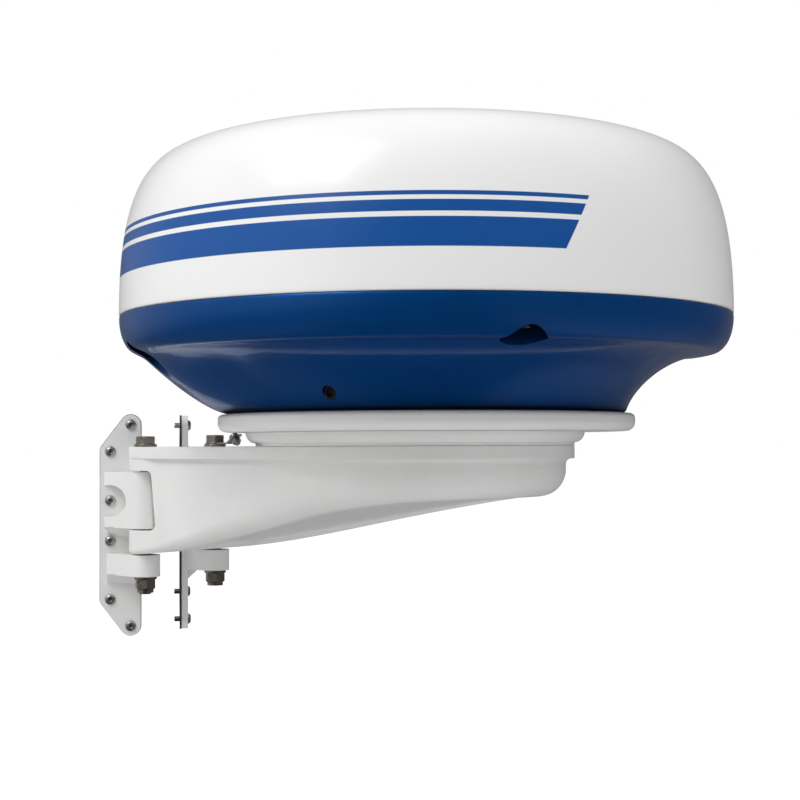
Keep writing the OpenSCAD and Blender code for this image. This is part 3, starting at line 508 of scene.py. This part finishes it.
def build_arm():
    verts, rows = [], []
    for point, normal in arm_edge():
        half = arm_half_section(point, normal)
        section = half + [(x, -y, z) for x, y, z in half[1:-1]][::-1]
        rows.append(list(range(len(verts), len(verts) + len(section))))
        verts += section
    faces = skin(rows, len(rows[0]))
    # close the mast end; -i is the mirror image of point i
    first, h = rows[0], len(half)
    low = h - UNDERSIDE_POINTS - 2
    faces.append([first[i] for i in (5, 6, *range(-6, 5))])
    for i in range(6, low):
        faces.append((first[i], first[i + 1], first[-i - 1], first[-i]))
    faces.append([first[i] for i in (*range(low, h), *range(2 - h, 1 - low))])
    arm = make("arm_body", verts, faces, weld=0.01)

    cut(arm, cylinder("mast_bore", 0, 0, -120, 30, r=72, n=256))
    # pockets for the feet, with a window that opens each one diagonally outward
    for side in (-1, 1):
        cut(arm, lathe("slot", HINGE_SLOT, HINGE_X, side * HINGE_Y, n=96, closed=False))
        verts = [(HINGE_X + DIAGONAL * (u + v), side * (HINGE_Y + DIAGONAL * (u - v)), z)
                 for u in (0.3, 46) for v, z in WINDOW]
        n = len(WINDOW)
        faces = [tuple(range(n)), tuple(range(2 * n - 1, n - 1, -1))]
        faces += [(i, i + n, (i + 1) % n + n, (i + 1) % n) for i in range(n)]
        cut(arm, make("window", verts, faces))
    cut(arm, lathe("slot", MAST_SLOT, n=256, closed=False))
    for side in (-1, 1):
        cut(arm, cylinder("hinge_hole", HINGE_X, side * HINGE_Y, -110, 20, r=5.05, n=48))
    # way out for the cable
    cut(arm, block("cable_way", (60, -22, -80), (140, 22, -18)))
    tidy(arm, 32, weld=0.004)
    return arm


# ------------------------------------------------------------------ build the pieces

# (radius, height) of the two discs between the arm and the radome
RISER = ([(66, 0.02), (128.6, 0.02)] + arc((128.0, 11.0), r=8.8, start=-85, end=-6, n=14)
         + [(136.75, 10.4), (136.55, 10.8), (136.1, 11.0), (66, 11.0)])
RISER_X = 338
PLATE = ([(45, 11.06), (159.5, 11.06)] + arc((160.0, 18.1), r=7.0, start=-84, end=0, n=12)
         + arc((163.2, 21.2), r=3.8, start=0, end=90, n=10) + [(150, 25.0), (45, 25.0)])

# (CAD node, bevel width in mm)
SMALL_PARTS = [
    ("hinge_bolts", 0.35), ("hinge_washers", 0.35), ("hinge_nuts", 0.3),
    ("near_foot_rivets", 0.0), ("far_foot_rivets", 0.0), ("bonding_tab", 0.3),
    ("bonding_screw", 0.25), ("dome_bolts", 0.3), ("dome_bolt_washers", 0.2),
    ("breather_plug", 0.3), ("near_foot_pad", 0.2), ("far_foot_pad", 0.2),
    ("nut_inserts", 0.2), ("base_gasket", 0.0)]

pieces = []             # (object, material slot)


def register(ob, body, node, slot):
    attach(ob, body)
    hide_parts(node)
    pieces.append((ob, slot))


arm = build_arm()
register(arm, "bracket_and_base", "arm_casting", "white_casting")
weighted(arm)
riser = lathe("riser_disc", RISER, RISER_X, n=224, sharp=40)
register(riser, "bracket_and_base", "riser_pad", "white_casting")
plate = lathe("plate_disc", PLATE, RADOME_X, n=256, sharp=40)
register(plate, "bracket_and_base", "platform_plate", "white_casting")
shell = build_lower_radome()
register(shell, "bracket_and_base", "lower_radome", "base_blue")
weighted(shell)
register(build_dome(), "dome", "upper_radome", "dome_white")
for node in ("near_foot", "far_foot"):
    foot = softened(node, 1.2, segments=3, angle=40)
    pieces.append((foot, "white_casting"))
small = {node: softened(node, width) for node, width in SMALL_PARTS}


# ------------------------------------------------------------------ shader tools

class Shader:
    """Short calls that add nodes to one node tree and return their output sockets."""

    def __init__(self, tree):
        self.tree = tree
        tree.nodes.clear()

    def node(self, kind, **settings):
        node = self.tree.nodes.new(kind)
        for key, value in settings.items():
            setattr(node, key, value)
        return node

    def link(self, a, b):
        self.tree.links.new(a, b)

    def put(self, socket, v):
        """Links a socket or sets a value; a colour gets its alpha here."""
        if hasattr(v, "is_output"):
            self.link(v, socket)
        else:
            socket.default_value = (*v, 1) if isinstance(v, tuple) else v

    def math(self, op, a, b):
        q = self.node("ShaderNodeMath", operation=op)
        for i, v in enumerate((a, b, 0.0)):
            self.put(q.inputs[i], v)
        return q.outputs[0]

    def add(self, a, b):
        return self.math("ADD", a, b)

    def times(self, a, b):
        return self.math("MULTIPLY", a, b)

    def invert(self, a):
        return self.math("SUBTRACT", 1.0, a)

    def dot(self, a, b):
        q = self.node("ShaderNodeVectorMath", operation="DOT_PRODUCT")
        self.link(a, q.inputs[0])
        if hasattr(b, "is_output"):
            self.link(b, q.inputs[1])
        else:
            q.inputs[1].default_value = b
        return q.outputs["Value"]

    def ramp(self, v, span, to=(0.0, 1.0)):
        """Smooth step from to[0] to to[1] as v crosses the span."""
        q = self.node("ShaderNodeMapRange", interpolation_type="SMOOTHSTEP")
        self.put(q.inputs[0], v)
        for i, x in enumerate((*span, *to), 1):
            q.inputs[i].default_value = x
        return q.outputs[0]


class Mat(Shader):
    """A Principled material in object coordinates."""

    SOCKETS = {"color": "Base Color", "metal": "Metallic", "rough": "Roughness",
               "normal": "Normal", "coat": "Coat Weight", "coat_rough": "Coat Roughness",
               "spec": "Specular IOR Level"}

    def __init__(self, name):
        self.mat = bpy.data.materials.new(name)
        self.mat.use_nodes = True
        super().__init__(self.mat.node_tree)
        self.out = self.node("ShaderNodeOutputMaterial")
        self.bsdf = self.node("ShaderNodeBsdfPrincipled")
        self.link(self.bsdf.outputs[0], self.out.inputs[0])
        self.coord = self.node("ShaderNodeTexCoord").outputs["Object"]

    def noise(self, scale, detail=3.0, rough=0.5, vec=None):
        q = self.node("ShaderNodeTexNoise")
        q.inputs["Scale"].default_value = scale
        q.inputs["Detail"].default_value = detail
        q.inputs["Roughness"].default_value = rough
        q.inputs["Distortion"].default_value = 0.0
        self.link(vec or self.coord, q.inputs["Vector"])
        return q.outputs[0]

    def mix(self, factor, a, b):
        q = self.node("ShaderNodeMix", data_type="RGBA", blend_type="MIX")
        for i, v in ((0, factor), (6, a), (7, b)):
            self.put(q.inputs[i], v)
        return q.outputs[2]

    def tint(self, col, mask, amount, other):
        """Moves a colour part of the way to another where the mask is 1."""
        return self.mix(self.times(mask, amount), col, other)

    def bump(self, height, strength, dist, normal=None):
        q = self.node("ShaderNodeBump")
        q.inputs["Strength"].default_value = strength
        q.inputs["Distance"].default_value = dist
        self.put(q.inputs["Height"], height)
        if normal is not None:
            self.link(normal, q.inputs["Normal"])
        return q.outputs[0]

    def bevel(self, radius):
        q = self.node("ShaderNodeBevel", samples=6)
        q.inputs["Radius"].default_value = radius
        return q.outputs[0]

    def edges(self, radius):
        """1 on edges, from how far the bevelled normal turns away from the true one."""
        true = self.node("ShaderNodeNewGeometry").outputs["Normal"]
        turn = self.invert(self.dot(true, self.bevel(radius)))
        return self.ramp(turn, span=(0.02, 0.25))

    def xyz(self):
        q = self.node("ShaderNodeSeparateXYZ")
        self.link(self.coord, q.inputs[0])
        return q.outputs[0], q.outputs[1], q.outputs[2]

    def finish(self, **values):
        for key, v in values.items():
            self.put(self.bsdf.inputs[self.SOCKETS[key]], v)
        return self.mat


# ------------------------------------------------------------------ materials

def powder_coat():
    m = Mat("white_powder_coat")
    big = m.noise(scale=9)
    fine = m.noise(scale=900, detail=2)
    peel = m.noise(scale=260, detail=2, rough=0.45)
    col = m.mix(m.ramp(big, span=(0.35, 0.65)), (0.80, 0.80, 0.79), (0.84, 0.84, 0.83))
    # patchy grey wear on the edges, then a little dust
    edge = m.edges(radius=0.0012)
    patches = m.ramp(m.noise(scale=60, detail=4, rough=0.6), span=(0.52, 0.66))
    col = m.tint(col, m.times(edge, patches), amount=0.25, other=(0.60, 0.60, 0.60))
    dust = m.ramp(m.noise(scale=28, detail=6, rough=0.65), span=(0.5, 0.75))
    col = m.tint(col, dust, amount=0.06, other=(0.50, 0.49, 0.46))
    rough = m.ramp(peel, span=(0.3, 0.7), to=(0.30, 0.38))
    height = m.add(m.times(peel, 0.8), m.times(fine, 0.2))
    normal = m.bump(height, strength=0.10, dist=0.0004, normal=m.bevel(radius=0.0008))
    return m.finish(color=col, rough=rough, spec=0.45, normal=normal, coat=0.25, coat_rough=0.2)


# trim stripes round the -Y side of the dome: (bottom, top) in metres, ends in degrees
STRIPES = [(0.131, 0.151), (0.1545, 0.1625), (0.1655, 0.1685)]
STRIPE_ENDS = (-172, -29.5)
STRIPE_LEAN = 130.0     # degrees the ends shift per metre of height
STRIPE_MID_Z = 0.150    # height where the ends do not shift
STRIPE_BLUE = (0.002, 0.080, 0.33)


def gel_coat_white():
    m = Mat("dome_gel_coat")
    x, y, z = m.xyz()
    big = m.noise(scale=5)
    col = m.mix(m.ramp(big, span=(0.3, 0.7)), (0.84, 0.84, 0.835), (0.87, 0.87, 0.865))
    turn = m.math("ARCTAN2", y, m.math("SUBTRACT", x, RADOME_X * MM))
    angle = m.times(turn, 180 / pi)
    lean = m.times(m.math("SUBTRACT", z, STRIPE_MID_Z), STRIPE_LEAN)

    def between(v, lo, hi, soft):
        return m.times(m.ramp(v, span=(lo - soft, lo + soft)),
                       m.ramp(v, span=(hi - soft, hi + soft), to=(1, 0)))

    def band(bottom, top):
        level = between(z, bottom, top, soft=0.00025)
        return m.times(level, between(m.math("SUBTRACT", angle, lean), *STRIPE_ENDS, soft=0.08))

    stripes = band(*STRIPES[0])
    for stripe in STRIPES[1:]:
        stripes = m.math("MAXIMUM", stripes, band(*stripe))
    col = m.mix(stripes, col, STRIPE_BLUE)
    rough = m.ramp(m.noise(scale=40, detail=4), span=(0.3, 0.7), to=(0.28, 0.32))
    height = m.add(m.noise(scale=35, detail=2), m.times(m.noise(scale=400, detail=2), 0.06))
    return m.finish(color=col, rough=rough, spec=0.5, coat=0.35, coat_rough=0.14,
                    normal=m.bump(height, strength=0.02, dist=0.0010))


def gloss_blue():
    m = Mat("glossy_blue_moulding")
    big = m.noise(scale=7)
    col = m.mix(m.ramp(big, span=(0.3, 0.7)), (0.0006, 0.078, 0.320), (0.0008, 0.085, 0.345))
    col = m.tint(col, m.edges(radius=0.0012), amount=0.12, other=(0.03, 0.14, 0.42))
    # painted shade: near-black colour in pockets, crevices and under the rim near the foot,
    # where the occlusion is strong; the coat is also weaker there
    shade_occlusion = m.node("ShaderNodeAmbientOcclusion", samples=8)
    shade_occlusion.inputs["Distance"].default_value = 0.06
    unshaded = m.ramp(shade_occlusion.outputs["AO"], span=(0.35, 0.92), to=(0.06, 1.0))
    # painted shade: the colour is mixed toward near-black where the occlusion mask is low
    col = m.mix(m.invert(unshaded), col, (0.0004, 0.004, 0.010))
    dust = m.ramp(m.noise(scale=55, detail=6, rough=0.7), span=(0.55, 0.8))
    rough = m.add(m.ramp(m.noise(scale=30, detail=4), span=(0.3, 0.7), to=(0.36, 0.44)),
                  m.times(dust, 0.05))
    height = m.add(m.noise(scale=28, detail=2), m.times(m.noise(scale=500, detail=2), 0.05))
    return m.finish(
        color=col, metal=0.6, rough=rough, spec=0.10,
        normal=m.bump(height, strength=0.05, dist=0.0012, normal=m.bevel(radius=0.0014)),
        coat=m.times(unshaded, 0.55),
        coat_rough=m.ramp(m.noise(scale=40), span=(0.3, 0.7), to=(0.03, 0.07)))


def brighter(color, gain, lift=0.0):
    return tuple(min(1, c * gain + lift) for c in color)


def metal(name, color, rough, scratch, stain=0.0, stain_color=None):
    """Blotched metal with fine level lines, stained if stain is above 0."""
    m = Mat(name)
    stretched = m.node("ShaderNodeCombineXYZ")
    for i, (axis, stretch) in enumerate(zip(m.xyz(), (0.15, 0.15, 6.0))):
        m.put(stretched.inputs[i], m.times(axis, stretch))
    lines = m.noise(scale=900, rough=0.6, vec=stretched.outputs[0])
    blot = m.noise(scale=160, detail=4, rough=0.6)
    col = m.mix(m.ramp(blot, span=(0.35, 0.7)), color, brighter(color, gain=0.8))
    if stain:
        spots = m.ramp(m.noise(scale=300, detail=5, rough=0.7), span=(0.45, 0.7))
        col = m.tint(col, spots, stain, stain_color)
    col = m.tint(col, m.edges(radius=0.0006), amount=0.4, other=brighter(color, gain=1.25))
    rough = m.add(m.ramp(blot, span=(0.3, 0.7), to=(rough - 0.05, rough + 0.08)),
                  m.times(lines, 0.06))
    normal = m.bump(lines, strength=0.15 * scratch, dist=0.0002, normal=m.bevel(radius=0.0003))
    return m.finish(color=col, metal=1.0, rough=rough, normal=normal)


def plastic(name, color, rough, grain, scale=700, metallic=0.0):
    """Grained plastic, a little paler on its edges."""
    m = Mat(name)
    speck = m.noise(scale, rough=0.6)
    big = m.noise(scale=20, detail=4)
    col = m.mix(m.ramp(big, span=(0.3, 0.7)), color, brighter(color, gain=1.25, lift=0.004))
    col = m.tint(col, m.edges(radius=0.0008), amount=0.25,
                 other=brighter(color, gain=1.6, lift=0.02))
    return m.finish(
        color=col, rough=m.ramp(speck, span=(0.3, 0.7), to=(rough - 0.05, rough + 0.07)),
        normal=m.bump(speck, strength=grain, dist=0.0003, normal=m.bevel(radius=0.0004)),
        spec=0.4, metal=metallic)


def board():
    """Green board with pale tracks; everything above its face is dark components."""
    m = Mat("circuit_board")
    z = m.xyz()[2]
    cells = m.node("ShaderNodeTexVoronoi", feature="DISTANCE_TO_EDGE")
    cells.inputs["Scale"].default_value = 260
    m.link(m.coord, cells.inputs["Vector"])
    tracks = m.ramp(cells.outputs[0], span=(0.04, 0.08), to=(1, 0))
    col = m.tint((0.01, 0.10, 0.035), tracks, amount=0.6, other=(0.03, 0.22, 0.09))
    high = m.ramp(z, span=(0.0593, 0.0595))
    part = m.ramp(m.noise(scale=90, detail=1), span=(0.48, 0.52))
    col = m.mix(high, col, m.mix(part, (0.02, 0.02, 0.022), (0.05, 0.06, 0.08)))
    rough = m.ramp(m.noise(scale=300, detail=2), span=(0.3, 0.7), to=(0.3, 0.45))
    return m.finish(color=col, rough=rough, normal=m.bump(tracks, strength=0.2, dist=0.0001))


MATS = {
    "white_casting": powder_coat(),
    "dome_white": gel_coat_white(),
    "base_blue": gloss_blue(),
    "stainless": metal("weathered_stainless", color=(0.52, 0.48, 0.42), rough=0.30,
                       scratch=0.8, stain=0.45, stain_color=(0.16, 0.11, 0.07)),
    "zinc": metal("zinc_plate", color=(0.60, 0.60, 0.58), rough=0.38,
                  scratch=0.6, stain=0.25, stain_color=(0.30, 0.29, 0.26)),
    "brass": metal("turned_brass", color=(0.75, 0.55, 0.24), rough=0.24,
                   scratch=0.8, stain=0.15, stain_color=(0.35, 0.22, 0.08)),
    "bare_aluminium": metal("machined_aluminium", color=(0.72, 0.73, 0.74), rough=0.34,
                            scratch=1.0, stain=0.1, stain_color=(0.4, 0.4, 0.4)),
    "magnet_grey": metal("nickel_plate", color=(0.62, 0.61, 0.58), rough=0.15, scratch=0.3),
}
# slot: (material name, colour, roughness, grain)
PLASTICS = {
    "rubber_black": ("black_rubber", (0.012, 0.012, 0.013), 0.62, 0.25),
    "isolator": ("isolating_sheet", (0.035, 0.035, 0.037), 0.7, 0.3),
    "bush_plastic": ("moulded_black", (0.02, 0.02, 0.022), 0.45, 0.15),
    "nylon_blue": ("blue_nylon", (0.03, 0.07, 0.25), 0.4, 0.1),
    "nylon_white": ("gear_nylon", (0.74, 0.72, 0.64), 0.38, 0.12),
}
for slot, values in PLASTICS.items():
    MATS[slot] = plastic(*values)
MATS["motor_black"] = plastic("motor_enamel", color=(0.015, 0.015, 0.017), rough=0.32,
                              grain=0.3, scale=1200, metallic=0.2)
MATS["board_green"] = board()
MATS["cover_cream"] = plastic("aerial_cover", color=(0.66, 0.63, 0.53), rough=0.42, grain=0.2)
SLOT = {s["node"]: s["material_slot"] for s in frame["record"]["subparts"]}


def paint(ob, mat):
    ob.data.materials.clear()
    ob.data.materials.append(mat)


for name, ob in NODE.items():
    if len(ob.material_slots):
        for slot in ob.material_slots:
            slot.material = MATS[SLOT[name]]
    else:
        ob.data.materials.append(MATS[SLOT[name]])
for ob, slot in pieces:
    paint(ob, MATS[slot])
for name, ob in small.items():
    paint(ob, MATS[SLOT[name]])


# ------------------------------------------------------------------ camera, lights, floor

CAM_PLACE = (1.094869, -1.054852, -0.001378)
CAM_RIGHT = (0.806989, 0.590553, -0.003967)
CAM_UP = (0.020697, -0.021567, 0.999553)
CAM_BACK = (0.590203, -0.806711, -0.029627)

cam = bpy.data.objects.new("camera", bpy.data.cameras.new("camera"))
scene.collection.objects.link(cam)
cam.data.sensor_width = 36.0
cam.data.lens = 72.048
cam.data.clip_start, cam.data.clip_end = 0.05, 60
axes = Matrix((CAM_RIGHT, CAM_UP, CAM_BACK)).transposed().to_4x4()
cam.matrix_world = Matrix.Translation(CAM_PLACE) @ axes
scene.camera = cam

# level directions of the view, and the point the lights aim at
AHEAD = Vector((-CAM_BACK[0], -CAM_BACK[1], 0.0)).normalized()
RIGHT = Vector((CAM_RIGHT[0], CAM_RIGHT[1], 0.0)).normalized()
MIDDLE = Vector((0.30, 0.0, 0.06))


def area(name, right, toward, up, size, power, glossy=True):
    """A soft light placed from the middle: metres right, toward the camera and up."""
    light = bpy.data.lights.new(name, "AREA")
    light.shape, light.size, light.size_y = "RECTANGLE", size[0], size[1]
    light.energy, light.spread = power, radians(180)
    ob = bpy.data.objects.new(name, light)
    scene.collection.objects.link(ob)
    ob.location = MIDDLE + RIGHT * right - AHEAD * toward + Vector((0, 0, up))
    ob.rotation_mode = "QUATERNION"
    ob.rotation_quaternion = (MIDDLE - ob.location).to_track_quat("-Z", "Y")
    ob.visible_glossy = glossy


area("key", right=-1.05, toward=1.08, up=1.55, size=(1.0, 1.0), power=19)
area("side_left", right=-2.2, toward=0.4, up=0.25, size=(0.7, 1.6), power=4, glossy=False)
area("side_right", right=1.9, toward=0.5, up=1.7, size=(0.9, 0.9), power=11.0, glossy=False)


def floor_material():
    """Pale grey; to the camera it is a near-white glow that still takes faint shadows."""
    m = Mat("pale_floor")
    grain = m.noise(scale=30, detail=4)
    m.finish(color=m.mix(grain, (0.66, 0.66, 0.66), (0.70, 0.70, 0.70)), rough=0.7,
             normal=m.bump(m.noise(scale=400, detail=2), strength=0.05, dist=0.0005))
    seen = m.node("ShaderNodeLightPath").outputs["Is Camera Ray"]
    faint = m.node("ShaderNodeBsdfDiffuse")
    m.put(faint.inputs["Color"], (0.16, 0.16, 0.16))
    glow = m.node("ShaderNodeEmission")
    m.put(glow.inputs["Strength"], 0.955)
    both = m.node("ShaderNodeAddShader")
    m.link(faint.outputs[0], both.inputs[0])
    m.link(glow.outputs[0], both.inputs[1])
    pick = m.node("ShaderNodeMixShader")
    for i, socket in enumerate((seen, m.bsdf.outputs[0], both.outputs[0])):
        m.link(socket, pick.inputs[i])
    m.link(pick.outputs[0], m.out.inputs[0])
    return m.mat


FLOOR_DROP = 0.10       # floor below the lowest CAD point
bpy.ops.mesh.primitive_circle_add(vertices=128, radius=14, fill_type="NGON",
                                  location=(0.3, 0, cad_lo[2] - FLOOR_DROP))
floor = bpy.context.object
floor.name = "floor"
paint(floor, floor_material())
floor.visible_glossy = False


def build_world():
    """White to the camera, soft from above for shading, light and dark zones to reflections."""
    world = bpy.data.worlds.new("studio")
    scene.world = world
    world.use_nodes = True
    w = Shader(world.node_tree)
    coord = w.node("ShaderNodeTexCoord").outputs["Generated"]
    out = w.node("ShaderNodeOutputWorld")
    rays = w.node("ShaderNodeLightPath").outputs
    is_glossy, is_camera = rays["Is Glossy Ray"], rays["Is Camera Ray"]
    ahead, aside, above = [w.dot(coord, tuple(d)) for d in (AHEAD, RIGHT, (0, 0, 1))]

    # zones seen in reflections
    behind = w.ramp(ahead, span=(0.50, 0.95), to=(0.0, 0.13))
    low = w.ramp(above, span=(-0.95, -0.05), to=(1.0, 0.25))
    left_panel = w.times(w.ramp(aside, span=(-0.55, -0.28), to=(0.10, 0.0)), low)
    left_glow = w.times(w.ramp(aside, span=(-0.85, -0.1), to=(0.32, 0.0)),
                        w.ramp(above, span=(-0.5, 0.0)))
    right_panel = w.times(w.ramp(aside, span=(0.30, 0.55), to=(0.0, 0.22)), low)
    gloss = w.math("MAXIMUM", w.math("MAXIMUM", behind, left_glow),
                   w.math("MAXIMUM", left_panel, right_panel))
    base_level = 0.012
    gloss = w.times(is_glossy, w.add(gloss, base_level))

    soft = w.times(w.invert(is_glossy), w.ramp(above, span=(0.10, 0.60), to=(0.08, 1.02)))
    shade_level = w.add(gloss, soft)
    level = w.add(w.times(shade_level, w.invert(is_camera)), is_camera)
    background = w.node("ShaderNodeBackground")
    w.put(background.inputs["Color"], (1, 1, 1))
    w.link(level, background.inputs["Strength"])
    w.link(background.outputs[0], out.inputs[0])


build_world()
scene.view_settings.view_transform = "Standard"
scene.view_settings.look = "None"
scene.view_settings.exposure = 0.0
